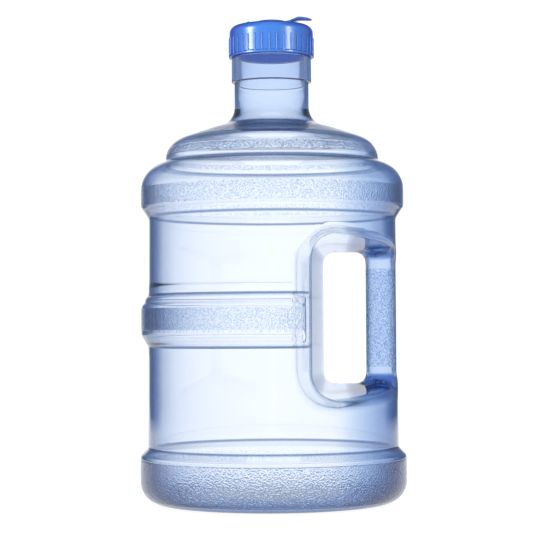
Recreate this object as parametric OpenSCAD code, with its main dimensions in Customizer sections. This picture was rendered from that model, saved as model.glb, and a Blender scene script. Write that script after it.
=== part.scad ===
// Large water jug: a blown clear bottle with a hollow grip, a screw cap and a flip stopper.
// Millimetres, +Z up. The origin is the centre of the base, on the surface that the jug
// stands on, and the grip is on the +X side.

/* [Bottle] */
// Radius of the stippled band at the base, the widest part
base_r = 99.8; // [99:0.1:101]
// Radius of the plain wall at its foot
wall_r = 93.5; // [93:0.1:94]
// Radius of the rib round the middle
rib_r = 99; // [98:0.1:100]
// Height of the middle of that rib
rib_z = 136.5; // [134:0.5:139]
// Radius of the shoulder ring
ring_r = 98.9; // [98:0.1:100]
// Thickness of the blown wall
wall_t = 1.7; // [1.4:0.1:2]

/* [Handle] */
// Nearest edge of the hand opening to the axis, at the middle plane
gap_x = 38.4; // [36:0.2:42]
// Lower edge of the hand opening at the middle plane
gap_z0 = 89.1; // [86:0.1:92]
// Upper edge of the hand opening at the middle plane
gap_z1 = 187.4; // [185:0.1:190]
// Radius of the hollow grip
grip_r = 11.4; // [11:0.1:11.4]

/* [Neck] */
// Radius of the neck
neck_r = 28.1; // [28:0.1:28.2]
// Radius of the bore through the neck
bore_r = 25.2; // [24.5:0.1:25.5]
// Radius of the collar that the cap closes down to
collar_r = 30.2; // [30:0.1:30.8]
// Height of the neck's lip
lip_z = 355.4; // [355:0.1:355.6]
// Rise of the thread in one turn
lead = 6; // [6:0.5:7]

/* [Cap] */
// Radius over the grip ribs
cap_r = 32.3; // [32.1:0.1:33]
// How far the grip ribs stand proud
rib_h = 0.7; // [0.4:0.1:0.8]
// Number of grip ribs
rib_count = 36; // [24:1:40]
// Height of the cap's lower edge
cap_z = 335; // [334.9:0.1:335.2]
// Height of the cap's flat top
roof_z = 359; // [358.9:0.1:359.2]

/* [Stopper] */
// Radius of the pouring hole
spout_r = 9; // [9:0.1:9.3]
// Radius of the lid over the hole
lid_r = 13.2; // [13.1:0.1:13.5]
// Reach of the pull tab's tip from the axis
tab_x = 31; // [28:0.5:32]

/* [Hidden] */
$fn = 128;

// Points along an arc in the plane of a turned outline, from angle a0 to a1.
function arc(x, z, r, a0, a1, n = 6) =
    [for (i = [0:n]) let (a = a0 + (a1 - a0) * i / n) [x + r * cos(a), z + r * sin(a)]];

// Unit normal on the left of the way from p to q.
function left(p, q) = let (d = (q - p) / norm(q - p)) [-d[1], d[0]];

// The same open outline moved to its left by t, with mitred corners. It starts on the axis.
function inset(p, t) = let (last = len(p) - 1)
    [for (i = [0:last]) let (
        u = left(p[max(i - 1, 0)], p[max(i, 1)]),
        v = left(p[min(i, last - 1)], p[min(i + 1, last)]),
        q = p[i] + t * (u + v) / (1 + u * v)
    ) [i == 0 ? 0 : q[0], q[1]]];

// The jug stands on a flat ring round a shallow push-up.
base_corner = 17;
base_outline = concat(
    [[0, 7], [40, 6], [72, 0]],
    arc(base_r - base_corner, base_corner, base_corner, -90, 0, 8),
    arc(base_r - 4.5, 34.2, 4.5, 0, 48, 4),
    [[wall_r + 0.7, 41.6], [wall_r, 43.2]]
);
rib_outline = concat(
    [[wall_r - 0.2, rib_z - 17]],
    arc(rib_r - 5.2, rib_z - 9.1, 5.2, -42, 0, 3),
    arc(rib_r - 6, rib_z + 8.9, 6, 0, 50, 3),
    [[wall_r + 0.1, rib_z + 19.2], [wall_r - 0.3, rib_z + 20.8]]
);
ring_outline = concat(
    [[wall_r - 0.6, 214.2]],
    arc(ring_r - 6.5, 223.5, 6.5, -48, 0, 4),
    arc(ring_r - 20.5, 234.8, 20.5, 0, 80, 8)
);
dome_outline = concat(
    [[80.3, 255.6]],
    arc(63, 256.8, 17.3, 0, 71, 7),
    [[39.2, 284.6]],
    arc(neck_r + 14.7, 297.8, 14.7, 248, 180, 6)
);
collar_z = 314.6;
body_outline = concat(base_outline, rib_outline, ring_outline, dome_outline);
neck_outline = [
    [neck_r, collar_z], [collar_r, collar_z + 2],
    [collar_r, cap_z - 0.4], [neck_r, cap_z - 0.4],
    [neck_r, lip_z - 0.6], [neck_r - 0.6, lip_z], [0, lip_z]
];
hollow_outline = concat(
    inset(body_outline, wall_t),
    [[bore_r, collar_z], [bore_r, lip_z + 1], [0, lip_z + 1]]
);

// The pocket round the grip opens by this much from the middle plane to either face.
face_y = 100;
face_draft = 14.5;
grip_x = wall_r - 0.7 - grip_r;
grip_z0 = gap_z0 - 19;
grip_z1 = gap_z1 + 19;

// Thread sections: half widths where a ridge leaves its wall and at its crest.
thread_foot = 1.4;
thread_tip = 0.7;
neck_thread_z = 342.5;
neck_crest = neck_r + 1.5;
skirt_r = neck_r + 1.9;
cap_crest = neck_r + 0.6;
thread_drop = 2.2;

rim_h = 1.8;
rib_top = 15;
rib_w = 1.3;
liner_t = 1.4;
liner_r = 27;
roof_under = lip_z + liner_t;
cap_corner = 5.5;
shell_r = cap_r - rib_h;
spout_z = roof_z + 2;
spout_wall = 2.5;

hinge_x = -17;
hinge_z = roof_z + 1.7;
hinge_r = 1.5;
pin_r = 0.8;
knuckle_y = 2.6;
ear_y = 5.2;
lid_under = spout_z + 0.2;
lid_top = roof_z + 3.8;
plug_r = spout_r - 0.8;
seal_z = roof_z - 0.4;
seal_h = 1.6;

// A solid through rings of points. Seen from the first ring, each ring runs anticlockwise.
module loft(rings) {
    n = len(rings[0]);
    last = n * (len(rings) - 1);
    sides = [for (i = [0:n:last - 1], k = [0:n - 1]) let (j = (k + 1) % n)
        [i + k, i + j, i + n + j, i + n + k]];
    ends = [[for (k = [n - 1:-1:0]) k], [for (k = [0:n - 1]) last + k]];
    polyhedron([for (ring = rings, p = ring) p], concat(sides, ends));
}

// The hand opening's outline at depth y, open past the wall at its outer end.
function gap_ring(y, grow, corner) = let (
    x = gap_x - grow + corner, z0 = gap_z0 - grow, z1 = gap_z1 + grow, end_x = base_r * 1.25
) [for (p = concat(
    [[end_x, z1]], arc(x, z1 - corner, corner, 90, 180),
    arc(x, z0 + corner, corner, 180, 270), [[end_x, z0]]
)) [p[0], y, p[1]]];

// The drafted pocket that is pressed into the bottle from both faces.
module handle_pocket(grow) {
    face = grow + face_draft;
    loft([gap_ring(-face_y, face, 14), gap_ring(0, grow, 8.5), gap_ring(face_y, face, 14)]);
}

// A thread ridge of trapezoid section that winds up from z0, between radii foot and crest.
module thread(foot, crest, z0, turns, angle = 0) {
    steps = round(turns * 36);
    outward = [
        [foot, -thread_foot], [crest, -thread_tip], [crest, thread_tip], [foot, thread_foot]
    ];
    section = foot < crest ? outward : [for (k = [3:-1:0]) outward[k]];
    loft([for (i = [0:steps]) let (a = angle + i * 10) [for (s = section)
        [s[0] * cos(a), s[0] * sin(a), z0 + s[1] + lead * i / 36]
    ]]);
}

// One blown piece: the body, the hollow grip that opens into it at both ends, and the neck.
module bottle() {
    color("lightskyblue", 0.6)
    difference() {
        union() {
            difference() {
                rotate_extrude() polygon(concat(body_outline, neck_outline));
                handle_pocket(0);
            }
            translate([grip_x, 0, grip_z0]) cylinder(r = grip_r, h = grip_z1 - grip_z0);
            thread(neck_r - 0.5, neck_crest, neck_thread_z, 1.5);
        }
        difference() {
            rotate_extrude() polygon(hollow_outline);
            handle_pocket(wall_t);
        }
        translate([grip_x, 0, grip_z0 - 2])
            cylinder(r = grip_r - wall_t, h = grip_z1 - grip_z0 + 4);
    }
}

// Outline of the cap's wall and roof, from its lower edge round to the pouring spout.
module cap_outline() {
    polygon(concat(
        [[skirt_r, cap_z], [cap_r, cap_z], [cap_r, cap_z + rim_h], [shell_r, cap_z + rim_h + 0.5]],
        arc(shell_r - cap_corner, roof_z - cap_corner, cap_corner, 0, 90),
        [[spout_r + spout_wall, roof_z], [spout_r + spout_wall, spout_z - 0.5]],
        [[spout_r + spout_wall - 0.5, spout_z], [spout_r, spout_z], [spout_r, roof_under]],
        arc(skirt_r - 3, roof_under - 3, 3, 90, 0)
    ));
}

module cap_shell() {
    color("royalblue") {
        rotate_extrude() cap_outline();
        for (i = [0:rib_count - 1])
            rotate([0, 0, (i + 0.75) * 360 / rib_count])
                translate([shell_r - 0.6, -rib_w / 2, cap_z + 1])
                    cube([rib_h + 0.55, rib_w, rib_top - 1]);
        for (side = [-1, 1])
            hinge_ear(side);
        thread(skirt_r + 0.4, cap_crest, neck_thread_z - thread_drop, 1.2, -20);
        translate([hinge_x, 0, hinge_z]) rotate([90, 0, 0])
            cylinder(r = pin_r, h = 2 * knuckle_y + 2, center = true);
    }
}

// One of the two ears that carry the stopper's hinge pin.
module hinge_ear(side) {
    y0 = side > 0 ? knuckle_y + 0.2 : -ear_y;
    width = ear_y - knuckle_y - 0.2;
    translate([hinge_x, y0 + width, hinge_z]) rotate([90, 0, 0])
        cylinder(r = hinge_r, h = width);
    translate([hinge_x - hinge_r, y0, roof_z - 0.5])
        cube([2 * hinge_r, width, hinge_z - roof_z + 0.5]);
}

// The ring that seals the cap's roof to the neck's lip.
module cap_liner() {
    color("whitesmoke")
    difference() {
        translate([0, 0, lip_z]) cylinder(r = liner_r, h = liner_t);
        translate([0, 0, lip_z - 1]) cylinder(r = bore_r - 1.7, h = liner_t + 2);
    }
}

// Side view of the pull tab: it rises to a hump and droops to a thin tip.
module tab_profile() {
    polygon([
        [lid_r - 2, lid_under + 0.2], [lid_r - 2, lid_top], [13.6, lid_top + 0.1],
        [17.5, lid_top + 1.8], [21, lid_top + 3.1], [24, lid_top + 2.9],
        [tab_x, lid_top + 1.6], [tab_x, lid_top + 0.3], [24, lid_top + 0.7],
        [20.5, lid_top + 0.6], [17, lid_top - 0.7], [lid_r + 0.5, lid_under + 0.2]
    ]);
}

// Plan of the pull tab: it narrows to a round end.
module tab_plan() {
    tip_r = 4.5;
    hull() {
        translate([lid_r - 3, -7]) square([1, 14]);
        translate([tab_x - tip_r, 0]) circle(r = tip_r, $fn = 48);
    }
}

module stopper() {
    color("cornflowerblue")
    difference() {
        union() {
            rotate_extrude() polygon([
                [0, lid_under], [plug_r - 2, lid_under], [plug_r - 2, roof_z - 1.5],
                [plug_r - 0.6, roof_z - 1.5], [plug_r, roof_z - 1], [plug_r, seal_z],
                [plug_r - 0.8, seal_z], [plug_r - 0.8, seal_z + seal_h],
                [plug_r, seal_z + seal_h], [plug_r, lid_under],
                [lid_r - 1.1, lid_under], [lid_r - 1.1, roof_z + 0.4], [lid_r, roof_z + 0.4],
                [lid_r, lid_top - 0.8], [lid_r - 0.8, lid_top], [0, lid_top]
            ]);
            intersection() {
                translate([0, 20, 0]) rotate([90, 0, 0]) linear_extrude(40) tab_profile();
                translate([0, 0, roof_z]) linear_extrude(20) tab_plan();
            }
            translate([hinge_x, 0, hinge_z]) rotate([90, 0, 0])
                cylinder(r = hinge_r, h = 2 * knuckle_y, center = true);
            translate([hinge_x, -knuckle_y, hinge_z - 0.6])
                cube([-hinge_x - lid_r + 0.8, 2 * knuckle_y, 1.8]);
        }
        translate([hinge_x, 0, hinge_z]) rotate([90, 0, 0])
            cylinder(r = pin_r + 0.08, h = 2 * knuckle_y + 2, center = true);
    }
}

// The soft ring in the plug's groove that keeps the pouring hole tight.
module stopper_seal() {
    color("white")
    translate([0, 0, seal_z])
    difference() {
        cylinder(r = spout_r - 0.3, h = seal_h);
        translate([0, 0, -1]) cylinder(r = plug_r - 0.8, h = seal_h + 2);
    }
}

bottle();
cap_shell();
cap_liner();
stopper();
stopper_seal();
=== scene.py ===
# %% [markdown]
# # A large clear water jug
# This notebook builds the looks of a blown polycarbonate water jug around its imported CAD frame.
# The frame holds the sizes, the joints and the pieces that move. Every piece made here is in
# metres, in the frame's own axes: +Z up, the grip on the +X side and the front towards -Y.

# %% Frame
import math

import bpy
import numpy as np
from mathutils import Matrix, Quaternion, Vector

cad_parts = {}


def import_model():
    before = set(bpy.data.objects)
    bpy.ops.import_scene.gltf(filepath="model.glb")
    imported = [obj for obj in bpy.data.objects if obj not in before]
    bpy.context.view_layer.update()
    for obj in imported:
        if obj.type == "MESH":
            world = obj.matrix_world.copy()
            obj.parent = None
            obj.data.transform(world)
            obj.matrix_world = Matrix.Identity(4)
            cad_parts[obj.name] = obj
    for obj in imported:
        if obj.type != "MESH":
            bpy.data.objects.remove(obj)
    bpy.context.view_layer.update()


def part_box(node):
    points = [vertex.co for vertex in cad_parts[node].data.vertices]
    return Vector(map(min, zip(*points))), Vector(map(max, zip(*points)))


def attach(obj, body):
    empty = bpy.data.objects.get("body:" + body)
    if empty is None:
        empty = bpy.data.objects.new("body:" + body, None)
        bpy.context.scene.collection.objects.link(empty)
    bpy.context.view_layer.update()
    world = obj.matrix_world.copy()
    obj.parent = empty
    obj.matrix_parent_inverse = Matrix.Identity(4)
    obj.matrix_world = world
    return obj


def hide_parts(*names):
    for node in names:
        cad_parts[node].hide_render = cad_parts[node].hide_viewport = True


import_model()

# %% [markdown]
# ## Driving sizes
# A drawing of a jug is in millimetres, so the outlines below are too, and `MM` turns them into
# metres. The main sizes are read off the frame, so the looks follow the CAD if it changes. The
# rest, such as the wall and the neck, are the CAD's own figures, which its boxes don't show.

# %% Driving sizes
MM = 0.001


def size_of(node):
    """The lowest and highest corners of a CAD node, in millimetres."""
    low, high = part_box(node)
    return Vector(low) / MM, Vector(high) / MM


base_r = size_of("bottle")[1].x
lip_z = size_of("bottle")[1].z
cap_z = size_of("cap_shell")[0].z
cap_r = size_of("cap_shell")[1].x
tab_tip_x = size_of("stopper")[1].x
lid_r = size_of("stopper")[1].y
tab_rise = 6.9
roof_z = size_of("stopper")[1].z - tab_rise
wall_r = base_r - 6.3
wall_t = 1.7
neck_r = 28.1
bore_r = 25.2
collar_r = 30.2
collar_z = 314.6
print(f"base radius {base_r:.1f} mm, lip at {lip_z:.1f} mm, cap radius {cap_r:.1f} mm")

# %% [markdown]
# ## Outlines as points and arcs
# A turned or blown piece is described by half of its cross-section: a few straight stretches
# joined by arcs. `arc` gives the points of one arc, and the rest is joining lists.


# %% Arc helper
def arc(x, z, r, start, end, steps=24):
    """Points on an arc in the plane of an outline, between two angles in degrees."""
    angles = np.radians(np.linspace(start, end, steps + 1))
    return [(x + r * math.cos(a), z + r * math.sin(a)) for a in angles]


# %% [markdown]
# ## Camera
# A long lens from a little below the jug's middle, tilted up slightly, shows the cap's edge as
# a shallow arch and keeps the sides upright, as in a catalogue picture.


# %% Camera
def make_camera():
    eye = Vector((0.0018, -1.356, 0.1293))
    target = Vector((0.0018, 0.0, 0.1708))
    data = bpy.data.cameras.new("camera")
    data.lens = 117.8
    data.sensor_width = 36
    camera = bpy.data.objects.new("camera", data)
    camera.rotation_mode = "QUATERNION"
    turn = (target - eye).to_track_quat("-Z", "Y")
    roll = Quaternion((0, 0, 1), math.radians(-0.35))
    camera.rotation_quaternion = turn @ roll
    camera.location = eye
    bpy.context.scene.collection.objects.link(camera)
    bpy.context.scene.camera = camera
    return camera


make_camera()

# %% [markdown]
# ## Shader maths
# A material's pattern is arithmetic on positions. Wiring Math nodes by hand hides that
# arithmetic, so `Value` wraps a socket and each operator adds the Math node that it means.


# %% Shader maths
class Value:
    """A number in a shader, on which Python's operators add Math nodes."""

    def __init__(self, build, socket):
        self.build, self.socket = build, socket

    def math(self, operation, *others):
        node = self.build.add("ShaderNodeMath", {"operation": operation}, [self, *others])
        return Value(self.build, node.outputs[0])

    def __add__(self, other):
        return self.math("ADD", other)

    def __radd__(self, other):
        return self.math("ADD", other)

    def __sub__(self, other):
        return self.math("SUBTRACT", other)

    def __rsub__(self, other):
        return self.build.constant(other).math("SUBTRACT", self)

    def __mul__(self, other):
        return self.math("MULTIPLY", other)

    def __rmul__(self, other):
        return self.math("MULTIPLY", other)

    def __truediv__(self, other):
        return self.math("DIVIDE", other)

    def __rtruediv__(self, other):
        return self.build.constant(other).math("DIVIDE", self)

    def clamp(self):
        return self.math("MINIMUM", 1.0).math("MAXIMUM", 0.0)


class Shader:
    """One material's node tree, with short ways to add to it."""

    def __init__(self, name):
        self.material = bpy.data.materials.new(name)
        self.material.use_nodes = True
        self.tree = self.material.node_tree
        self.tree.nodes.clear()
        self.output = self.tree.nodes.new("ShaderNodeOutputMaterial")

    def add(self, kind, settings=None, inputs=None):
        """A node of a kind. Its settings come first, then its sockets' values or links."""
        node = self.tree.nodes.new(kind)
        for name, value in (settings or {}).items():
            setattr(node, name, value)
        pairs = inputs.items() if isinstance(inputs, dict) else enumerate(inputs or [])
        for key, value in pairs:
            if isinstance(value, Value):
                value = value.socket
            if isinstance(value, bpy.types.NodeSocket):
                self.tree.links.new(value, node.inputs[key])
            else:
                node.inputs[key].default_value = value
        return node

    def constant(self, number):
        node = self.add("ShaderNodeMath", {"operation": "ADD"}, [number, 0.0])
        return Value(self, node.outputs[0])

    def place(self):
        """The point on the piece, in metres, and its x, y and z."""
        point = self.add("ShaderNodeTexCoord").outputs["Object"]
        split = self.add("ShaderNodeSeparateXYZ", None, [point])
        return point, [Value(self, socket) for socket in split.outputs]

    def attribute(self, name):
        node = self.add("ShaderNodeAttribute", {"attribute_name": name})
        return Value(self, node.outputs["Fac"])

    def facing(self):
        """0 where the surface is seen square on, rising to 1 where it is seen edge on."""
        node = self.add("ShaderNodeLayerWeight", None, {"Blend": 0.5})
        return Value(self, node.outputs["Facing"])

    def mix(self, share, first, second):
        """A colour between two: the first where the share is 0, the second where it is 1."""
        sockets = {0: share, 6: first, 7: second}
        return self.add("ShaderNodeMix", {"data_type": "RGBA"}, sockets).outputs[2]

    def noise(self, point, scale, detail=2.0, roughness=0.5):
        node = self.add("ShaderNodeTexNoise", None, {
            "Vector": point, "Scale": scale, "Detail": detail, "Roughness": roughness})
        return Value(self, node.outputs["Fac"])

    def bump(self, height, distance, strength=1.0):
        return self.add("ShaderNodeBump", None, {
            "Height": height, "Distance": distance, "Strength": strength}).outputs["Normal"]

    def principled(self, **inputs):
        node = self.add("ShaderNodeBsdfPrincipled", None, {
            name.replace("_", " "): value for name, value in inputs.items()})
        self.tree.links.new(node.outputs[0], self.output.inputs["Surface"])
        return node

# %% [markdown]
# ## The bottle's outline
# The body is blown into a round mould, so most of it is one outline turned about the axis: a
# shallow push-up, a base band, the plain wall with a rib half way, a shoulder ring, a ledge, a
# low dome and the neck. Heights are the mould's own, and radii follow the base and the wall.


# %% Bottle outline
rib_r = base_r - 0.8
ring_r = base_r - 0.9
neck_fillet = 14.7
top_z = 320.0
push_up = 7.0

base_points = (
    [(-20.0, push_up)] + arc(0, -438, 445, 90, 86.2, 8) + [(60.0, 2.6)]
    + arc(72.5, 14, 14, 245, 270, 12) + arc(base_r - 17, 17, 17, -90, 0)
    + arc(base_r - 4.5, 34.2, 4.5, 0, 52) + [(wall_r + 0.4, 42.0)]
)
rib_points = (
    arc(wall_r + 5.3, 115.2, 5.5, 180, 130, 12)
    + arc(rib_r - 5.2, 127.4, 5.2, -42, 0) + arc(rib_r - 6, 145.4, 6, 0, 50)
    + arc(wall_r + 5.2, 158.4, 5.5, 235, 180, 12)
)
ring_points = (
    arc(wall_r + 4.4, 211.2, 5, 180, 140, 12)
    + arc(ring_r - 6.5, 223.5, 6.5, -48, 0) + arc(ring_r - 20.5, 234.8, 20.5, 0, 78, 40)
)
dome_points = (
    arc(82.0, 257.0, 1.8, 250, 180, 10) + arc(63, 257.4, 17.2, 4, 71, 40)
    + arc(neck_r + neck_fillet, 297.8, neck_fillet, 246, 180, 40)
    + [(neck_r, top_z), (-20.0, top_z)]
)
body_outline = np.array(base_points + rib_points + ring_points + dome_points)
plain_outline = np.array(base_points + ring_points + dome_points)
print(len(body_outline), "points in the body's outline")

# %% [markdown]
# ## Distance to the outline
# The pocket and the grip run smoothly into the wall, which a turned mesh with cuts in it can't
# do well. So the skin is described by a signed distance: how far each point is from it,
# negative inside. Shapes are then joined with smooth minimum and maximum, which leave the
# fillets of a blown part. The outline's own distance is worked out once on a fine table.


# %% Outline distance
def outline_distance(r, z, outline):
    """Signed distance from points to a closed outline, negative inside it."""
    nearest = np.full(r.shape, np.inf)
    inside = np.zeros(r.shape, bool)
    for (r0, z0), (r1, z1) in zip(outline, np.roll(outline, -1, axis=0)):
        dr, dz = r1 - r0, z1 - z0
        along = ((r - r0) * dr + (z - z0) * dz) / max(dr * dr + dz * dz, 1e-12)
        along = np.clip(along, 0, 1)
        nearest = np.minimum(nearest, (r - r0 - along * dr) ** 2 + (z - z0 - along * dz) ** 2)
        if z0 != z1:
            inside ^= ((z0 > z) != (z1 > z)) & (r < r0 + dr * (z - z0) / dz)
    return np.where(inside, -1, 1) * np.sqrt(nearest)


TABLE_STEP = 0.4
table_r = np.arange(-2, 106, TABLE_STEP)
table_z = np.arange(-8, 326, TABLE_STEP)


def distance_table(outline):
    r, z = np.meshgrid(table_r, table_z, indexing="ij")
    return outline_distance(r, z, outline)


def read_table(table, r, z):
    """A table's distance, read smoothly between its entries."""
    i = np.clip((r - table_r[0]) / TABLE_STEP, 0, len(table_r) - 1.001)
    k = np.clip((z - table_z[0]) / TABLE_STEP, 0, len(table_z) - 1.001)
    i0, k0 = i.astype(int), k.astype(int)
    u, v = i - i0, k - k0
    low = table[i0, k0] * (1 - v) + table[i0, k0 + 1] * v
    high = table[i0 + 1, k0] * (1 - v) + table[i0 + 1, k0 + 1] * v
    return low * (1 - u) + high * u


body_table = distance_table(body_outline)
plain_table = distance_table(plain_outline)

# %% [markdown]
# ## The blown skin
# The hand pocket is pressed in from both faces with draft, and its edges are rounder at the
# foot and the side than at the top. The middle rib stops just short of it. The grip is a tube
# that opens into the body at both ends, and the last maximum keeps its blends inside the body.

# %% Skin distance
gap_x = 38.4
gap_z0, gap_z1 = 89.1, 187.4
gap_corner = 8.5
gap_draft = 0.145
grip_r = 11.4
grip_x = wall_r - 0.7 - grip_r
rib_z = 136.5
rib_end = 26.4


def smooth_step(x, start, end):
    """0 before the start and 1 past the end, with no corner at either."""
    t = np.clip((x - start) / (end - start), 0, 1)
    return t * t * (3 - 2 * t)


def smooth_max(a, b, width):
    """The larger of two distances, with their meeting rounded over a width."""
    reach = np.maximum(width - np.abs(a - b), 0) / width
    return np.maximum(a, b) + reach * reach * width / 4


def smooth_min(a, b, width):
    return -smooth_max(-a, -b, width)


def pocket_distance(x, y, z):
    """Distance from the hand pocket, a rounded slot that widens with draft towards its faces."""
    middle, half = (gap_z0 + gap_z1) / 2, (gap_z1 - gap_z0) / 2 - gap_corner
    dx = gap_x + gap_corner - x
    dz = np.abs(z - middle) - half
    round_end = np.hypot(np.maximum(dx, 0), np.maximum(dz, 0)) - gap_corner
    rounded = round_end + np.minimum(np.maximum(dx, dz), 0)
    spread = np.sqrt(y * y + 5.0 ** 2) - 5.0
    return (rounded - gap_draft * spread) / math.hypot(1, gap_draft)


def skin_distance(x, y, z):
    """Signed distance from the bottle's outer skin below its neck, in millimetres."""
    r = np.hypot(x, y)
    plain = read_table(plain_table, r, z)
    ribbed = smooth_max(read_table(body_table, r, z), x - rib_end, 3.0)
    body = np.where(np.abs(z - rib_z) < 26, smooth_min(plain, ribbed, 1.2), plain)
    edge = 11 - 6 * smooth_step(z, 178, 196)
    pressed = smooth_max(body, -pocket_distance(x, y, z), edge)
    grip = np.hypot(x - grip_x, y) - grip_r
    return np.maximum(smooth_min(pressed, grip, 9.0), body)


def wall_at(z):
    """The wall is thicker in the heel and in the neck than in the body."""
    heel = 0.7 * (1 - smooth_step(z, 4, 24))
    neck = (neck_r - bore_r - wall_t) * smooth_step(z, 286, 297)
    return wall_t + heel + neck


# %% [markdown]
# ## From distance to mesh
# Surface nets turn a distance into a mesh: every cell of a grid that the surface passes through
# gets one point, and every grid edge that crosses it gets one face between its four cells. The
# grid here is round, so on the plain walls the mesh is as regular as a turned one. Its lines
# are close together where the outline bends and far apart where it is straight.


# %% Round grid
def levels(*stretches):
    """Grid lines from stretches of (start, end, spacing)."""
    lines = [np.linspace(a, b, max(round((b - a) / step), 1), endpoint=False)
             for a, b, step in stretches]
    return np.concatenate(lines + [[stretches[-1][1]]])


def round_grid(coarse):
    """Radii and heights of the grid's lines, with the spacings multiplied by coarse."""
    radii = levels((12, 22, 2.6 * coarse), (22, 60, 2.3 * coarse), (60, 82, 2 * coarse),
                   (82, 103, 1.45 * coarse))
    heights = levels(
        (-3, 18, 1.45 * coarse), (18, 33, 4), (33, 45, 1.3 * coarse), (45, 72, 6),
        (72, 96, 1.9 * coarse), (96, 115, 4), (115, 128, 1.4 * coarse), (128, 146, 4),
        (146, 159, 1.4 * coarse), (159, 180, 4), (180, 210, 1.9 * coarse),
        (210, 222, 1.3 * coarse), (222, 236, 2.6), (236, 262, 1.4 * coarse), (262, 300, 1.9))
    return radii, heights


half_turn = levels((0, 9, 1.5), (9, 58, 2.7), (58, 70, 2), (70, 79, 0.75), (79, 86, 1.75),
                   (86, 180, 2.7))
grid_a = np.radians(np.concatenate([half_turn, 360 - half_turn[-2:0:-1]]))
TURNS = len(grid_a)
print("grid:", TURNS, "angles, radii and heights", [len(lines) for lines in round_grid(1)])


def surface_net(values):
    """Points (in grid units) and faces of the zero surface of values[r, angle, z]."""
    inside = values < 0
    wrap = np.concatenate([inside, inside[:, :1]], axis=1)
    value = np.concatenate([values, values[:, :1]], axis=1)
    shape = (wrap.shape[0] - 1, wrap.shape[1] - 1, wrap.shape[2] - 1)
    total = np.zeros(shape + (3,))
    count = np.zeros(shape)
    corners = [(a, b, c) for a in (0, 1) for b in (0, 1) for c in (0, 1)]
    for p in corners:
        for axis in range(3):
            if p[axis]:
                continue
            q = tuple(v + (i == axis) for i, v in enumerate(p))
            cut_p, cut_q = (tuple(slice(o, o + n) for o, n in zip(c, shape)) for c in (p, q))
            vp, vq = value[cut_p], value[cut_q]
            crossed = wrap[cut_p] != wrap[cut_q]
            share = np.where(crossed, vp / np.where(crossed, vp - vq, 1), 0)
            for i in range(3):
                total[..., i] += crossed * (p[i] + (share if i == axis else 0))
            count += crossed
    cells = np.argwhere(count > 0)
    index = np.full(shape, -1)
    index[tuple(cells.T)] = np.arange(len(cells))
    points = cells + total[tuple(cells.T)] / count[tuple(cells.T)][:, None]
    return points, net_faces(inside, index)


def net_faces(inside, index):
    """One face for each grid edge that the surface crosses, facing outwards."""
    faces = []
    turns = index.shape[1]
    for axis in range(3):
        u, v = (axis + 1) % 3, (axis + 2) % 3
        ahead = np.roll(inside, -1, axis=axis)
        crossed = inside != ahead
        if axis != 1:
            crossed = crossed.take(range(inside.shape[axis] - 1), axis=axis)
        at = np.argwhere(crossed)
        at = at[[all(0 < p[w] < index.shape[w] or w == 1 for w in (u, v)) for p in at]]
        leaves = inside[tuple(at.T)]
        ring = []
        for du, dv in ((0, 0), (1, 0), (1, 1), (0, 1)):
            cell = at.copy()
            cell[:, u] -= du
            cell[:, v] -= dv
            cell[:, 1] %= turns
            ring.append(index[tuple(cell.T)])
        ring = np.stack(ring, axis=1)
        faces.append(np.where(leaves[:, None], ring, ring[:, ::-1]))
    return np.concatenate(faces)


# %% [markdown]
# ## Settling the points
# Each point is walked down the distance's slope until it lies on the skin, and the slope there
# is the surface's normal. Glass shows every wobble in its normals, so the exact ones are kept.


# %% Settle points
def to_place(points, radii, heights):
    """Grid units to x, y, z in millimetres."""
    r = np.interp(points[:, 0], range(len(radii)), radii)
    a = np.interp(points[:, 1], range(TURNS + 1), np.append(grid_a, 2 * math.pi))
    z = np.interp(points[:, 2], range(len(heights)), heights)
    return np.stack([r * np.cos(a), r * np.sin(a), z], axis=1)


def slope(distance, p, step=0.35):
    """The distance's gradient at each point."""
    columns = []
    for axis in range(3):
        ahead, behind = p.copy(), p.copy()
        ahead[:, axis] += step
        behind[:, axis] -= step
        columns.append((distance(*ahead.T) - distance(*behind.T)) / (2 * step))
    return np.stack(columns, axis=1)


def settle(distance, p, rounds=4, furthest=0.8):
    """The points walked onto the skin in a few rounds of short steps, and their normals."""
    for _ in range(rounds):
        g = slope(distance, p)
        square = np.maximum((g * g).sum(axis=1), 0.2)
        move = -(distance(*p.T) / square)[:, None] * g
        length = np.maximum(np.linalg.norm(move, axis=1, keepdims=True), 1e-9)
        p = p + move * np.minimum(1, furthest / length)
    g = slope(distance, p)
    return p, g / np.linalg.norm(g, axis=1, keepdims=True)


def skin(distance, coarse):
    """Points, normals and faces of the surface where a distance is zero."""
    radii, heights = round_grid(coarse)
    r, a, z = np.meshgrid(radii, grid_a, heights, indexing="ij")
    raw, faces = surface_net(distance(r * np.cos(a), r * np.sin(a), z))
    points, normals = settle(distance, to_place(raw, radii, heights))
    return points, normals, faces


def edge_ring(faces, points, near):
    """The points of an open edge near a height or the axis, in order of their angle."""
    sides = np.stack([faces.ravel(), np.roll(faces, -1, axis=1).ravel()], axis=1)
    key = np.sort(sides, axis=1)
    unique, count = np.unique(key, axis=0, return_counts=True)
    loose = np.unique(unique[count == 1])
    loose = loose[near(points[loose])]
    angle = np.arctan2(points[loose, 1], points[loose, 0]) % (2 * math.pi)
    return loose[np.argsort(angle)]


# %% [markdown]
# ## The bottle
# The outer and inner skins are two surface nets of one distance, a wall apart. Each is open at
# the neck and at the middle of the base, with one point for each of the grid's angles, so
# turned rings join them: up the neck, over the collar and the lip, and down inside the bore.


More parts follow.
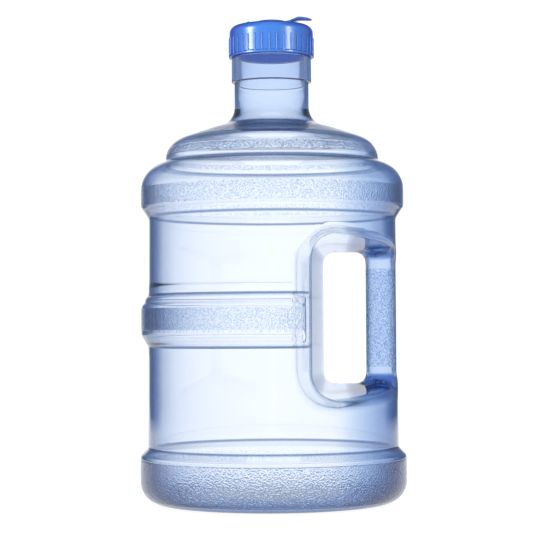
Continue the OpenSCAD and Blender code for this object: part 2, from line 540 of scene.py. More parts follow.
# %% Bottle mesh
neck_rings = (
    [(neck_r, z) for z in (303, 307, 311, collar_z + 0.2)]
    + arc(neck_r + 0.3, collar_z + 0.8, 0.3, 180, 90, 3)
    + arc(collar_r - 0.35, collar_z + 1.75, 0.35, 280, 360, 4)
    + [(collar_r, z) for z in (318, 322, 326, 330, cap_z - 1.2)]
    + arc(collar_r - 0.6, cap_z - 1.0, 0.6, 15, 90, 4) + [(neck_r + 0.5, cap_z - 0.4)]
    + arc(neck_r + 0.3, cap_z - 0.1, 0.3, 250, 180, 3)
    + [(neck_r, z) for z in (337, 341, 345, 349, lip_z - 1.2)]
    + arc(neck_r - 0.9, lip_z - 0.9, 0.9, 10, 90, 5)
    + arc(bore_r + 0.7, lip_z - 0.7, 0.7, 90, 180, 5)
    + [(bore_r, z) for z in (350, 343, 336, 329, 324)]
    + [(bore_r + 0.9 * smooth_step(z, 324, 303), z) for z in range(322, 302, -2)]
)


def ring_faces(lower, upper):
    """Quads between two rings of the same number of points."""
    after = np.roll(lower, -1), np.roll(upper, -1)
    return np.stack([lower, after[0], after[1], upper], axis=1)


def fan(centre, ring):
    """Triangles from a centre point to each side of a ring."""
    return [(centre, a, b) for a, b in zip(ring, np.roll(ring, -1))]


def high(p):
    """Picks the points of the open edge at the neck."""
    return p[:, 2] > 290


def central(p):
    """Picks the points of the open edge at the middle of the base."""
    return np.hypot(p[:, 0], p[:, 1]) < 20


def hollow_distance(x, y, z):
    """The distance of the bottle's inner skin, a wall inside the outer one."""
    return skin_distance(x, y, z) + wall_at(z)


outer = skin(skin_distance, 1)
inner = skin(hollow_distance, 1.35)
points = [outer[0], inner[0]]
normals = [outer[1], -inner[1]]
faces = [outer[2], inner[2][:, ::-1] + len(outer[0])]
made = len(outer[0]) + len(inner[0])

lower = edge_ring(outer[2], outer[0], high)
turn = np.arctan2(outer[0][lower, 1], outer[0][lower, 0])
for r, z in neck_rings:
    points.append(np.stack([r * np.cos(turn), r * np.sin(turn), np.full(TURNS, z)], axis=1))
    upper = np.arange(made, made + TURNS)
    faces.append(ring_faces(lower, upper))
    lower, made = upper, made + TURNS
faces.append(ring_faces(lower, edge_ring(inner[2], inner[0], high) + len(outer[0])))
base_rings = (
    edge_ring(outer[2], outer[0], central)[::-1],
    edge_ring(inner[2], inner[0], central) + len(outer[0]),
)
points.append(np.array([[0, 0, push_up], [0, 0, push_up + wall_at(push_up)]]))
normals.append(np.zeros((made - len(outer[0]) - len(inner[0]), 3)))
normals.append(np.array([[0, 0, -1.0], [0, 0, 1.0]]))
caps = fan(made, base_rings[0]) + fan(made + 1, base_rings[1])
points, normals = np.concatenate(points), np.concatenate(normals)
quads = np.concatenate(faces)
print("bottle:", len(points), "points,", 2 * len(quads) + len(caps), "triangles")


def mesh_object(name, points_mm, faces, material):
    """An object at the origin from points in millimetres."""
    mesh = bpy.data.meshes.new(name)
    mesh.from_pydata(points_mm * MM, [], faces)
    mesh.update()
    mesh.materials.append(material)
    mesh.shade_smooth()
    piece = bpy.data.objects.new(name, mesh)
    bpy.context.scene.collection.objects.link(piece)
    return piece


# %% [markdown]
# ## Clear polycarbonate
# The real plastic is clear with a faint blue dye, so a thin wall looks almost white and its edges,
# where light runs a long way inside it, look navy. Volume absorption tints the wall, and the
# surface's colour does the rest: it deepens where the wall is seen edge on, and in the places where
# a blown wall is thick. The colour also holds painted light: dark lines of painted shade in the
# tight corners of the rib, the rings and the heel, and a pale painted highlight along the hand
# pocket's rim. The mould is pebbled in bands, which are a bump on the outer skin with a darker speck
# on each crest.


# %% Clear plastic
foot_pebbles, ring_pebbles = (3, 33.4), (221.5, 235.5)
rib_pebbles, grip_pebbles = (129.4, 146), (101.5, 175)
dome_pebbles = (259.5, 266), (273.6, 281.5)
# Heights of the painted shade lines at the rib's and the rings' corners.
rib_corners = (116.2, 118.6), (154.4, 156.8)
ring_corners = (40.4, 42.6), (213.2, 215.4), (253.6, 256)
edge_dye, thick_dye = (0.57, 0.64, 0.76), (0.50, 0.635, 0.835)
PEBBLE_SCALE, FLOW_SCALE = 870, 26
MOST_EDGE_ON = 7.0


def band(height, low, high, blur=0.0006):
    """1 between two heights in millimetres, fading to 0 over blur metres."""
    rise = (height - low * MM) / blur
    fall = (high * MM - height) / blur
    return rise.clamp() * fall.clamp()


def past(x, start, width):
    """0 up to a place in millimetres, rising to 1 over a width beyond it."""
    return ((x - start * MM) / (width * MM)).clamp()


def before(x, end, width):
    """1 up to a width short of a place in millimetres, falling to 0 at it."""
    return ((end * MM - x) / (width * MM)).clamp()


def dyed(shader, edge_on_and_shade, thick):
    """The dye's colour, which deepens where the wall is seen edge on or is thicker, and where lines
    of painted shade are added to the edge-on share.
    """
    channels = [shader.constant(a).math("POWER", edge_on_and_shade) * shader.constant(b).math("POWER", thick)
                for a, b in zip(edge_dye, thick_dye)]
    return shader.add("ShaderNodeCombineColor", None, channels).outputs[0]


def painted_corner_shade(x, z):
    """Painted shade: dark lines at the tight corners of the rib, the rings and the heel, where light
    is lost in the bend.
    """
    rib = (band(z, *rib_corners[0]) + band(z, *rib_corners[1])) * before(x, 26, 1)
    rings = band(z, *ring_corners[0]) + band(z, *ring_corners[1]) + band(z, *ring_corners[2])
    return rib + rings + band(z, -1, 1.6, 0.0012)


def thick_places(x, z, at_grip):
    """Where the blown wall is thicker: its heel, neck, and the pinched ends of the grip."""
    heel = before(z, 9, 8) * 1.5
    ends = at_grip * (1 - band(z, 93.5, 185.5, 0.003)) * (1 - band(z, 185, 210, 0.006) * 0.8)
    near_grip = past(x, 48, 45) * (1 - at_grip)
    neck = band(z, 284, 340, 0.008)
    return heel + near_grip * 0.85 + at_grip * 0.38 + ends * 1.9 + neck * 0.26


def pebble_zones(x, z, outside):
    """How pebbled each place is, how much deeper its edges look, and how specked it is."""
    in_grip = past(x, 66, 1) * band(z, 84, 192, 0.002)
    foot, ring = band(z, *foot_pebbles), band(z, *ring_pebbles)
    rib = band(z, *rib_pebbles) * before(x, 22.5, 0.6)
    dome = band(z, *dome_pebbles[0]) + band(z, *dome_pebbles[1])
    grip = band(z, *grip_pebbles) * in_grip
    pebbled = ((foot + rib + ring + dome) * (1 - in_grip) + grip) * outside
    deeper = (foot * 3.8 + rib * 5.0 + ring * 1.1) * (1 - in_grip) * outside
    lighter = band(z, 238, 279, 0.004) * 0.45 + in_grip * 0.1
    return pebbled, deeper - lighter, 0.8 - foot * 0.2 + dome * 0.5 + grip * 0.6


def clear_plastic():
    shader = Shader("clear_polycarbonate")
    point, (x, y, z) = shader.place()
    pebbled, deeper, specked = pebble_zones(x, z, shader.attribute("outside"))
    grain = shader.noise(point, PEBBLE_SCALE, 0.0, 0.5)
    flow = shader.noise(point, FLOW_SCALE, 2.0, 0.5)
    speck = ((grain - 0.49) * 13).clamp() * pebbled
    # Painted highlight: near the hand pocket's rim most of the edge-on tint is taken away so that
    # the rim looks pale, and a band at the collar's foot is kept paler too.
    pocket_rim = past(x, 15, 4) * before(x, 60, 6)
    painted_rim_highlight = pocket_rim * band(z, 72, 207, 0.008) * 0.9 + band(z, 312.5, 318, 0.001) * 0.8
    at_grip = past(x, 60, 6) * band(z, 78, 202, 0.006)
    path = (1 / (1.02 - shader.facing()) - 0.98).math("POWER", 1.4)
    # Painted shade: the corner lines are added to the edge-on tint, so the corners darken as if seen
    # edge on.
    edge_on_and_shade = path * (1 - painted_rim_highlight) * (1 + deeper) + painted_corner_shade(x, z) * (1 - at_grip) * 2.3
    thick = thick_places(x, z, at_grip) + speck * specked
    shader.principled(
        Base_Color=dyed(shader, edge_on_and_shade.math("MINIMUM", MOST_EDGE_ON), thick),
        Roughness=pebbled * 0.06 + 0.01, Transmission_Weight=1.0, IOR=1.57,
        Normal=shader.bump(grain * pebbled + flow * 0.05, 0.00032))
    absorb = shader.add("ShaderNodeVolumeAbsorption", None, {
        "Color": (0.25, 0.50, 0.86, 1.0), "Density": 46.0})
    shader.tree.links.new(absorb.outputs[0], shader.output.inputs["Volume"])
    return shader.material


clear_wall = clear_plastic()

# %% [markdown]
# ## Blue plastic
# The cap and the stopper are moulded in one glossy blue. A little light gets into such plastic, so
# it has some subsurface softness; it also has faint sink marks and fine rubbed spots from handling.
# Its sides are darkened towards a deep blue where they are seen edge on, which is painted shade. The
# inner face of its thin skirt has a painted glow, an emission that stands in for the light that
# comes through.


# %% Blue plastic
def blue_plastic(name, colour, painted_edge_shade, painted_inner_glow):
    shader = Shader(name)
    point, (x, y, z) = shader.place()
    sink = shader.noise(point, 70, 2.0, 0.5)
    rub = shader.noise(point, 420, 3.0, 0.6)
    # Painted shade: the blue darkens towards the edge shade colour where the surface is seen edge
    # on.
    edge = ((shader.facing() - 0.12) / 0.5).clamp()
    blue = shader.mix(edge, colour, painted_edge_shade)
    # Painted glow: the inner face of the skirt emits blue light, which stands in for light coming
    # through the plastic.
    inside = before((x * x + y * y).math("SQRT"), 30.8, 0.4) * band(z, 334, 357)
    glow = shader.mix(inside, (0.0, 0.0, 0.0, 1.0), painted_inner_glow)
    shader.principled(
        Base_Color=blue, Roughness=rub * 0.08 + 0.22, IOR=1.46, Subsurface_Weight=0.1,
        Subsurface_Scale=0.003, Emission_Color=glow, Emission_Strength=1.0,
        Normal=shader.bump(sink, 0.0004, 0.5))
    return shader.material


cap_blue = blue_plastic("cap_blue", (0.034, 0.145, 0.46, 1.0), (0.003, 0.035, 0.24, 1.0),
                        (0.02, 0.07, 0.34, 1.0))
stopper_blue = blue_plastic("stopper_blue", (0.030, 0.13, 0.42, 1.0), (0.003, 0.035, 0.22, 1.0),
                            (0.0, 0.0, 0.0, 1.0))

# %% [markdown]
# ## Turned pieces
# The cap, its liner and the stopper are solids of revolution. Their outlines run round their
# own cross-sections, and points on the axis become one pole, so each mesh is closed.


# %% Turned pieces
def turned(outline, steps=144):
    """Points and faces of a closed outline turned about the axis, facing outwards."""
    points, faces, rings = [], [], []
    angles = np.linspace(0, 2 * math.pi, steps, endpoint=False)
    for r, z in outline:
        first = len(points)
        if r < 1e-6:
            points.append((0.0, 0.0, z))
            rings.append(np.full(steps, first))
        else:
            points += [(r * math.cos(a), r * math.sin(a), z) for a in angles]
            rings.append(np.arange(first, first + steps))
    pairs = list(zip(rings, rings[1:] + rings[:1]))
    for (lower, upper), (r0, _), (r1, _) in zip(pairs, outline, outline[1:] + outline[:1]):
        if r0 < 1e-6 and r1 < 1e-6:
            continue
        for quad in ring_faces(lower, upper).tolist():
            faces.append(list(dict.fromkeys(quad)))
    return np.array(points), faces


def join(parts):
    """Several (points, faces) as one."""
    points, faces, made = [], [], 0
    for part_points, part_faces in parts:
        points.append(part_points)
        faces += [[i + made for i in face] for face in part_faces]
        made += len(part_points)
    return np.concatenate(points), faces


spout_r = 9.0
spout_z = roof_z + 2
liner_t = 1.4
roof_under = lip_z + liner_t
shell_r = cap_r - 0.7
skirt_r = neck_r + 1.9
cap_outline = (
    arc(skirt_r + 0.35, cap_z + 0.35, 0.35, 180, 270, 4)
    + arc(cap_r - 0.45, cap_z + 0.45, 0.45, 270, 360, 5)
    + arc(cap_r - 0.4, cap_z + 1.5, 0.4, 0, 60, 4)
    + arc(shell_r + 0.5, cap_z + 2.5, 0.5, 230, 180, 4)
    + [(shell_r, cap_z + 8), (shell_r, cap_z + 13)]
    + arc(shell_r - 5.5, roof_z - 5.5, 5.5, 0, 90, 14) + [(19.0, roof_z)]
    + arc(spout_r + 2.9, roof_z + 0.4, 0.4, 270, 180, 4)
    + arc(spout_r + 2.0, spout_z - 0.5, 0.5, 0, 90, 5)
    + arc(spout_r + 0.4, spout_z - 0.4, 0.4, 90, 180, 4)
    + arc(spout_r + 0.3, roof_under + 0.3, 0.3, 180, 270, 4) + [(18.0, roof_under)]
    + arc(skirt_r - 3, roof_under - 3, 3, 90, 0, 8) + [(skirt_r, cap_z + 10)]
)


# %% Plain mesh parts
def rod(x, z, r, y0, y1, steps=40):
    """A solid rod along Y, with a small bevel at each end."""
    bevel = min(0.2, r / 4)
    rings = [(r - bevel, y0), (r, y0 + bevel), (r, y1 - bevel), (r - bevel, y1)]
    points, faces = turned([(0.0, y0)] + rings + [(0.0, y1)], steps)
    return np.stack([x + points[:, 0], points[:, 2], z - points[:, 1]], axis=1), faces


def slab(outline, y0, y1, bevel=0.3):
    """A plate with an anticlockwise outline in x and z, from y0 to y1, bevelled along its rims."""
    flat = np.array(outline)
    ahead = np.roll(flat, -1, axis=0) - flat
    ahead /= np.linalg.norm(ahead, axis=1, keepdims=True)
    both = ahead + np.roll(ahead, 1, axis=0)
    inward = np.stack([-both[:, 1], both[:, 0]], axis=1)
    inward /= np.linalg.norm(inward, axis=1, keepdims=True)
    small, count = flat + bevel * inward, len(flat)
    rings = [(small, y0), (flat, y0 + bevel), (flat, y1 - bevel), (small, y1)]
    points = np.concatenate([np.stack([p[:, 0], np.full(count, y), p[:, 1]], axis=1)
                             for p, y in rings])
    faces = [list(range(count)), list(range(4 * count - 1, 3 * count - 1, -1))]
    for k in range(3):
        ring = np.arange(count) + k * count
        faces += ring_faces(ring, ring + count)[:, ::-1].tolist()
    return points, faces


# %% [markdown]
# ## Ribs and threads with Geometry Nodes
# The cap's grip ribs are one small bar repeated round it, and a thread is one section swept
# along a spiral. Both follow a rule, so a node tree makes them: its named inputs are the sizes,
# and Realize Instances turns the result into plain faces.


# %% Node tree helper
class Tree:
    """A Geometry Nodes tree with named inputs, ending in Realize Instances and Set Material."""

    def __init__(self, name, **inputs):
        self.group = bpy.data.node_groups.new(name, "GeometryNodeTree")
        self.sockets = {}
        for label, value in inputs.items():
            kind = "NodeSocketInt" if isinstance(value, int) else "NodeSocketFloat"
            socket = self.group.interface.new_socket(label, in_out="INPUT", socket_type=kind)
            self.sockets[label] = (socket.identifier, value)
        self.group.interface.new_socket("Geometry", in_out="OUTPUT",
                                        socket_type="NodeSocketGeometry")
        self.given = self.group.nodes.new("NodeGroupInput")

    def value(self, label):
        return self.given.outputs[label]

    def add(self, kind, settings=None, inputs=None, output=0):
        node = self.group.nodes.new(kind)
        for name, value in (settings or {}).items():
            setattr(node, name, value)
        for key, value in (inputs or {}).items():
            if isinstance(value, bpy.types.NodeSocket):
                self.group.links.new(value, node.inputs[key])
            else:
                node.inputs[key].default_value = value
        return node.outputs[output]

    def math(self, operation, a, b=0.0):
        return self.add("ShaderNodeMath", {"operation": operation}, {0: a, 1: b})

    def mesh(self, geometry, material):
        """The tree's result as plain points in millimetres and faces."""
        real = self.add("GeometryNodeRealizeInstances", None, {0: geometry})
        done = self.add("GeometryNodeSetMaterial", None, {"Geometry": real, "Material": material})
        output = self.group.nodes.new("NodeGroupOutput")
        self.group.links.new(done, output.inputs[0])
        carrier = bpy.data.objects.new("carrier", bpy.data.meshes.new("carrier"))
        bpy.context.scene.collection.objects.link(carrier)
        modifier = carrier.modifiers.new("tree", "NODES")
        modifier.node_group = self.group
        for identifier, value in self.sockets.values():
            modifier[identifier] = value
        evaluated = carrier.evaluated_get(bpy.context.evaluated_depsgraph_get())
        mesh = bpy.data.meshes.new_from_object(evaluated)
        carrier.modifiers.remove(modifier)
        points = np.array([v.co for v in mesh.vertices]) / MM
        faces = [list(p.vertices) for p in mesh.polygons]
        bpy.data.objects.remove(carrier)
        bpy.data.meshes.remove(mesh)
        return points, faces


# %% [markdown]
# A grip rib is a short upright curve with a round profile, whose radius shrinks to nothing at
# its top end. It is set into the cap's side until only its crest stands proud.


# %% Grip ribs
def grip_ribs(material):
    """All the cap's grip ribs, as instances of one bar."""
    tree = Tree("grip_ribs", Count=36, Radius=(cap_r - 0.62) * MM, Bottom=(cap_z + 1.8) * MM,
                Top=(cap_z + 15) * MM, Width=1.24 * MM, First=math.radians(7.5))
    start = tree.add("ShaderNodeCombineXYZ", None, {"X": tree.value("Radius"),
                                                    "Z": tree.value("Bottom")})
    end = tree.add("ShaderNodeCombineXYZ", None, {"X": tree.value("Radius"),
                                                  "Z": tree.value("Top")})
    line = tree.add("GeometryNodeCurvePrimitiveLine", None, {"Start": start, "End": end})
    fine = tree.add("GeometryNodeResampleCurve", None, {"Curve": line, "Count": 22})
    along = tree.add("GeometryNodeSplineParameter")
    from_end = tree.math("SUBTRACT", 1.0, along)
    taper = tree.math("MINIMUM", tree.math("MULTIPLY", from_end, 9.0), 1.0)
    bulge = tree.math("SQRT", tree.math("SUBTRACT", 1.0, tree.math(
        "POWER", tree.math("SUBTRACT", 1.0, taper), 2.0)))
    thick = tree.math("MAXIMUM", bulge, 0.03)
    half = tree.math("MULTIPLY", tree.value("Width"), 0.5)
    profile = tree.add("GeometryNodeCurvePrimitiveCircle", None, {"Resolution": 14, "Radius": half})
    bar = tree.add("GeometryNodeCurveToMesh", None, {
        "Curve": fine, "Profile Curve": profile, "Scale": thick, "Fill Caps": True})
    spots = tree.add("GeometryNodeMeshLine", None, {"Count": tree.value("Count"),
                                                    "Offset": (0.0, 0.0, 0.0)})
    step = tree.math("DIVIDE", 2 * math.pi, tree.value("Count"))
    index = tree.add("GeometryNodeInputIndex")
    turn = tree.math("ADD", tree.value("First"), tree.math("MULTIPLY", step, index))
    spin = tree.add("ShaderNodeCombineXYZ", None, {"Z": turn})
    spin = tree.add("FunctionNodeEulerToRotation", None, {0: spin})
    ribs = tree.add("GeometryNodeInstanceOnPoints", None, {
        "Points": spots, "Instance": bar, "Rotation": spin})
    return tree.mesh(ribs, material)


# %% [markdown]
# A thread starts from nothing, rises to its full height and fades out, so the section's scale
# follows the spiral's own parameter. The spiral's middle lies on the wall that carries it.


# %% Threads
def thread_ridge(name, radius, bottom, lead, turns, thickness, material, start=0.0):
    """A round ridge along a spiral about the axis, in millimetres, fading out at both ends."""
    tree = Tree(name, Radius=radius * MM, Bottom=bottom * MM, Rise=lead * turns * MM,
                Turns=float(turns), Thickness=thickness * MM, Start=math.radians(start))
    line = tree.add("GeometryNodeCurvePrimitiveLine")
    fine = tree.add("GeometryNodeResampleCurve", None, {"Curve": line, "Count": int(96 * turns)})
    along = tree.add("GeometryNodeSplineParameter")
    angle = tree.math("ADD", tree.value("Start"), tree.math(
        "MULTIPLY", tree.math("MULTIPLY", along, tree.value("Turns")), 2 * math.pi))
    x = tree.math("MULTIPLY", tree.math("COSINE", angle), tree.value("Radius"))
    y = tree.math("MULTIPLY", tree.math("SINE", angle), tree.value("Radius"))
    z = tree.math("ADD", tree.value("Bottom"), tree.math("MULTIPLY", along, tree.value("Rise")))
    place = tree.add("ShaderNodeCombineXYZ", None, {"X": x, "Y": y, "Z": z})
    spiral = tree.add("GeometryNodeSetPosition", None, {"Geometry": fine, "Position": place})
    ends = tree.math("MINIMUM", along, tree.math("SUBTRACT", 1.0, along))
    fade = tree.math("MINIMUM", tree.math("MULTIPLY", ends, 14.0), 1.0)
    scale = tree.math("MAXIMUM", tree.math("SQRT", fade), 0.05)
    profile = tree.add("GeometryNodeCurvePrimitiveCircle", None, {
        "Resolution": 12, "Radius": tree.value("Thickness")})
    ridge = tree.add("GeometryNodeCurveToMesh", None, {
        "Curve": spiral, "Profile Curve": profile, "Scale": scale, "Fill Caps": True})
    return tree.mesh(ridge, material)


# %% [markdown]
# The neck's thread belongs to the bottle. Its section is cut off flat at the neck's wall, so no
# part of it lies inside the clear plastic, and its faces join the bottle's before the mesh is made.


# %% Bottle piece
def stand_proud(points, radius):
    """The points, with any nearer the axis than a radius moved out to it."""
    r = np.hypot(points[:, 0], points[:, 1])
    grow = np.maximum(r, radius) / r
    return points * np.stack([grow, grow, np.ones(len(r))], axis=1)


def bottle_piece():
    """The bottle's skins and its thread as one mesh, with the skins' exact normals."""
    ridge, ridge_faces = thread_ridge("neck_thread", neck_r, 342.5, 6, 1.5, 1.4, clear_wall)
    ridge = stand_proud(ridge, neck_r - 0.02)
    everything, every_face = join([(points, quads.tolist() + caps), (ridge, ridge_faces)])
    bottle = mesh_object("bottle_skin", everything, every_face, clear_wall)
    bottle.data.normals_split_custom_set_from_vertices(
        np.concatenate([normals, np.zeros((len(ridge), 3))]))
    outside = bottle.data.attributes.new("outside", "FLOAT", "POINT")
    on_outer = np.arange(len(everything)) < len(outer[0])
    outside.data.foreach_set("value", on_outer.astype(np.float32))
    print("bottle_skin:", sum(len(p.vertices) - 2 for p in bottle.data.polygons), "triangles")
    return bottle


bottle = bottle_piece()
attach(bottle, "bottle")
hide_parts("bottle")

# %% [markdown]
# ## The cap
# The shell is turned, and the ribs, the inner thread, the two hinge ears and the hinge pin are
# set into it so that they read as one moulding.

# %% Cap
hinge_x = -17.0
hinge_z = roof_z + 1.7
hinge_r = 1.5
pin_r = 0.8
knuckle_y = 2.6
ear_y = 5.2


def ear_outline(radius, foot_z):
    """A hinge lug from the side: a round eye on a straight foot."""
    return arc(hinge_x, hinge_z, radius, 0, 180, 16) + [(hinge_x - radius, foot_z),
                                                        (hinge_x + radius, foot_z)]


cap_thread = thread_ridge("cap_thread", skirt_r + 0.05, 340.3, 6, 1.2, 1.2, cap_blue, -20)
ears = [slab(ear_outline(hinge_r, roof_z - 0.5), *sorted((side * (knuckle_y + 0.2), side * ear_y)))
        for side in (-1, 1)]
pin = rod(hinge_x, hinge_z, pin_r, -knuckle_y - 1, knuckle_y + 1)
cap = mesh_object("cap", *join([turned(cap_outline, 180), grip_ribs(cap_blue), cap_thread, pin]
                               + ears), cap_blue)


def finish_piece(piece, body, node, sharp=35):
    """Smooth shading that keeps edges sharper than an angle, then the piece's place in the model."""
    piece.data.set_sharp_from_angle(angle=math.radians(sharp))
    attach(piece, body)
    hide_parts(node)
    box = np.array([v.co for v in piece.data.vertices]) / MM
    print(piece.name, "from", box.min(0).round(2), "to", box.max(0).round(2), "mm,",
          sum(len(p.vertices) - 2 for p in piece.data.polygons), "triangles")


finish_piece(cap, "cap", "cap_shell", 50)

# %% [markdown]
# ## The liner
# A foam ring in the cap's roof seals on the neck's lip. Foam is dull, pale blue and full of
# tiny cells, which a fine bump gives it.


# %% Liner
def soft_material(name, colour, rough, grain, depth):
    shader = Shader(name)
    point, _ = shader.place()
    cells = shader.noise(point, grain, 2.0, 0.6)
    shader.principled(Base_Color=colour, Roughness=cells * 0.2 + (rough - 0.1), IOR=1.42,
                      Subsurface_Weight=0.2, Subsurface_Scale=0.003,
                      Normal=shader.bump(cells, depth, 0.8))
    return shader.material


def rounded_box(r0, r1, z0, z1, r):
    """The cross-section of a ring with rounded corners."""
    return (arc(r0 + r, z0 + r, r, 180, 270, 4) + arc(r1 - r, z0 + r, r, 270, 360, 4)
            + arc(r1 - r, z1 - r, r, 0, 90, 4) + arc(r0 + r, z1 - r, r, 90, 180, 4))


liner_foam = soft_material("liner_foam", (0.50, 0.66, 0.92, 1.0), 0.75, 1500, 0.0002)
liner_low, liner_high = size_of("cap_liner")
liner = mesh_object("liner", *turned(rounded_box(
    bore_r - 1.7, liner_high.x, liner_low.z, liner_high.z, 0.3), 144), liner_foam)
finish_piece(liner, "liner", "cap_liner")

# %% [markdown]
# ## The stopper
# A snap-on lid over the pouring hole, with a hollow plug below it, a knuckle on the hinge pin
# at the back and a pull tab at the front. The tab humps up so that a thumb gets under it.

# %% Stopper
lid_under = spout_z + 0.2
lid_top = roof_z + 3.8
plug_r = spout_r - 0.8
seal_z = roof_z - 0.4
seal_h = 1.6
lid_outline = (
    [(0.0, lid_under)] + arc(plug_r - 2.4, lid_under - 0.4, 0.4, 90, 0, 3)
    + arc(plug_r - 1.7, roof_z - 1.2, 0.3, 180, 270, 3)
    + arc(plug_r - 0.6, roof_z - 0.9, 0.6, 270, 360, 4) + [(plug_r, seal_z)]
    + [(plug_r - 0.8, seal_z), (plug_r - 0.8, seal_z + seal_h), (plug_r, seal_z + seal_h)]
    + arc(plug_r + 0.3, lid_under - 0.3, 0.3, 180, 90, 3)
    + arc(lid_r - 1.4, lid_under - 0.3, 0.3, 90, 0, 3)
    + arc(lid_r - 0.85, roof_z + 0.65, 0.25, 180, 270, 3)
    + arc(lid_r - 0.3, roof_z + 0.7, 0.3, 270, 360, 3)
    + [(lid_r - 5.0 + 5.0 * math.cos(a), lid_top - 1.9 + 1.9 * math.sin(a))
       for a in np.linspace(0, math.pi / 2, 14)] + [(4.0, lid_top), (0.0, lid_top)]
)
tab_top = [(11.0, -0.5), (13.4, 0.05), (17.2, 1.75), (20.8, 3.06), (24.2, 2.88), (28.0, 2.25),
           (31.0, 1.45)]
tab_low = [(11.0, -1.3), (13.8, -1.35), (16.8, -0.65), (20.4, 0.6), (24.2, 0.75), (28.0, 0.5),
           (31.0, 0.45)]


def smooth_curve(knots, x):
    """A curve through knots whose slopes come from their neighbours."""
    xs, zs = np.array(knots).T
    slopes = np.gradient(zs, xs)
    k = np.clip(np.searchsorted(xs, x) - 1, 0, len(xs) - 2)
    width = xs[k + 1] - xs[k]
    t = (x - xs[k]) / width
    return ((2 * t ** 3 - 3 * t ** 2 + 1) * zs[k] + (t ** 3 - 2 * t ** 2 + t) * width * slopes[k]
            + (3 * t ** 2 - 2 * t ** 3) * zs[k + 1] + (t ** 3 - t ** 2) * width * slopes[k + 1])


def pull_tab():
    """The tab as rings of a rounded section from the lid out to a round tip."""
    tip_r, count = 4.5, 28
    near = np.linspace(11.0, tab_tip_x - tip_r, 44, endpoint=False)
    far = tab_tip_x - tip_r + tip_r * np.sin(np.linspace(0, math.pi / 2, 18))
    xs = np.append(near, far)
    past = np.clip(xs - (tab_tip_x - tip_r), 0, tip_r)
    width = np.where(past > 0, np.sqrt(np.maximum(tip_r ** 2 - past ** 2, 0.01)),
                     7 + (tip_r - 7) * (xs - 11) / (tab_tip_x - tip_r - 11))
    top, low = lid_top + smooth_curve(tab_top, xs), lid_top + smooth_curve(tab_low, xs)
    thick = (top - low) / 2 * np.sqrt(np.clip((tab_tip_x - xs) / 0.7, 0.04, 1))
    middle = (top + low) / 2
    angles = np.linspace(0, 2 * math.pi, count, endpoint=False)
    c, s = np.cos(angles), np.sin(angles)
    across, up = np.sign(c) * np.abs(c) ** 0.35, np.sign(s) * np.abs(s) ** 0.6
    points = np.concatenate([np.stack([np.full(count, x), w * across, m + t * up], axis=1)
                             for x, w, m, t in zip(xs, width, middle, thick)])
    faces = [list(range(count - 1, -1, -1))]
    for k in range(len(xs) - 1):
        ring = np.arange(count) + k * count
        faces += ring_faces(ring, ring + count).tolist()
    last = count * (len(xs) - 1)
    faces.append(list(range(last, last + count)))
    return points, faces


def hinge_knuckle():
    """A tube round the hinge pin and the strap that joins it to the lid."""
    bore = pin_r + 0.08
    ring = rounded_box(bore, hinge_r, -knuckle_y, knuckle_y, 0.15)
    tube, faces = turned(ring, 40)
    tube = np.stack([hinge_x + tube[:, 0], tube[:, 2], hinge_z - tube[:, 1]], axis=1)
    x0, x1 = hinge_x + bore + 0.1, 1.2 - lid_r
    strap = slab([(x0, hinge_z - 0.45), (x1, hinge_z - 0.45), (x1, hinge_z + 1.15),
                  (x0 + 0.35, hinge_z + 1.15), (x0, hinge_z + 0.8)], -knuckle_y, knuckle_y, 0.25)
    return [(tube, faces), strap]


stopper = mesh_object("stopper_lid", *join([turned(lid_outline, 144), pull_tab()] + hinge_knuckle()),
                      stopper_blue)
finish_piece(stopper, "lid", "stopper")

# %% [markdown]
# ## The stopper's seal
# A soft white ring sits in the plug's groove. Its rounded face stands just proud of the plug.

# %% Seal
seal_rubber = soft_material("seal_rubber", (0.82, 0.83, 0.82, 1.0), 0.45, 600, 0.00005)
seal_low, seal_high = size_of("stopper_seal")
seal = mesh_object("seal_ring", *turned(rounded_box(
    plug_r - 0.78, seal_high.x, seal_low.z, seal_high.z, 0.45), 120), seal_rubber)
finish_piece(seal, "lid", "stopper_seal")

# %% [markdown]
# ## Floor, backdrop and light
# Clear plastic shows only what is around it. The jug stands in a round white bowl of paper: a
# bright strip behind it shows through its walls, and a dark strip on each side of that gives
# the wall's edges their line. Two soft boxes light only the blue pieces, because the clear
# ones would mirror them, and a third hangs overhead.


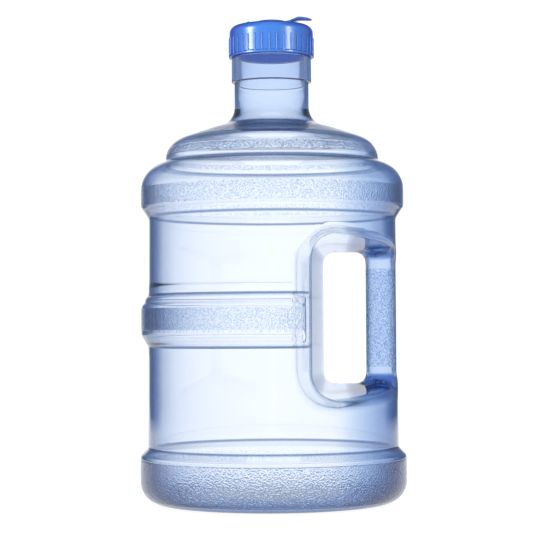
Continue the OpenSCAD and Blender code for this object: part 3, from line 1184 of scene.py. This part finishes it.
# %% Stage
def paper(side, flag):
    """Paper that glows white behind the jug, dark beside that, and pale everywhere else."""
    shader = Shader("paper")
    point, (x, y, z) = shader.place()
    fibre = shader.noise(point, 300, 2.0, 0.5)
    radius = (x * x + y * y).math("SQRT").math("MAXIMUM", 0.01)
    off_axis = x.math("ABSOLUTE") + x * 0.12 - y * 0.16
    low = ((1.5 - z) / 0.4).clamp()
    strip = ((0.46 - off_axis) / 0.18).clamp() * low
    near = ((1.5 - radius) / 0.5).clamp()
    white = strip.math("MAXIMUM", near)
    behind = ((y / radius - 0.46) / 0.16).clamp()
    glow = shader.mix(white, shader.mix(behind, side, flag), (1.0, 1.0, 1.0, 1.0))
    shader.principled(Base_Color=(0.30, 0.30, 0.31, 1.0), Roughness=fibre * 0.1 + 0.85,
                      Specular_IOR_Level=0.0, Emission_Color=glow,
                      Emission_Strength=0.92)
    return shader.material


def studio_bowl():
    """A round floor that curves up into a wall on every side, as one smooth sheet."""
    wall, bend, high = 2.6, 0.7, 2.4
    side = [(0.0, 0.0)] + [(r, 0.0) for r in (0.1, 0.2, 0.4, 0.8, 1.3)] + [
        (wall - bend + bend * math.sin(a), bend - bend * math.cos(a))
        for a in np.linspace(0, math.pi / 2, 25)] + [(wall, high)]
    points, faces = turned([(r / MM, z / MM) for r, z in side][::-1], 120)
    bottom = 120 * (len(side) - 1)
    faces = [face for face in faces if not (bottom in face and min(face) < 120)]
    bowl = mesh_object("studio_bowl", points, faces, paper((0.70, 0.76, 0.84, 1.0),
                                                           (0.10, 0.16, 0.30, 1.0)))
    bowl.location.z = -0.0002
    return bowl


def soft_box(name, azimuth, distance, height, width, tall, power):
    """An area light at an angle round the jug from the camera's side, aimed at its middle."""
    data = bpy.data.lights.new(name, "AREA")
    data.shape = "RECTANGLE"
    data.size, data.size_y, data.energy = width, tall, power
    lamp = bpy.data.objects.new(name, data)
    a = math.radians(azimuth)
    lamp.location = (distance * math.sin(a), -distance * math.cos(a), height)
    lamp.rotation_euler = (Vector((0, 0, 0.2)) - lamp.location).to_track_quat("-Z", "Y").to_euler()
    bpy.context.scene.collection.objects.link(lamp)
    return lamp


studio_bowl()
blue_pieces = bpy.data.collections.new("blue_pieces")
for piece in (cap, stopper):
    blue_pieces.objects.link(piece)
for lamp in (soft_box("box_left", -60, 1.3, 0.62, 0.34, 0.5, 19),
             soft_box("box_right", 50, 1.3, 0.62, 0.26, 0.5, 11)):
    lamp.light_linking.receiver_collection = blue_pieces
soft_box("box_top", 0, 0.25, 1.9, 0.9, 0.9, 3)

world = bpy.data.worlds.new("studio")
world.use_nodes = True
world.node_tree.nodes["Background"].inputs["Color"].default_value = (0.45, 0.58, 0.80, 1.0)
world.node_tree.nodes["Background"].inputs["Strength"].default_value = 0.5
bpy.context.scene.world = world
bpy.context.scene.view_settings.view_transform = "Standard"
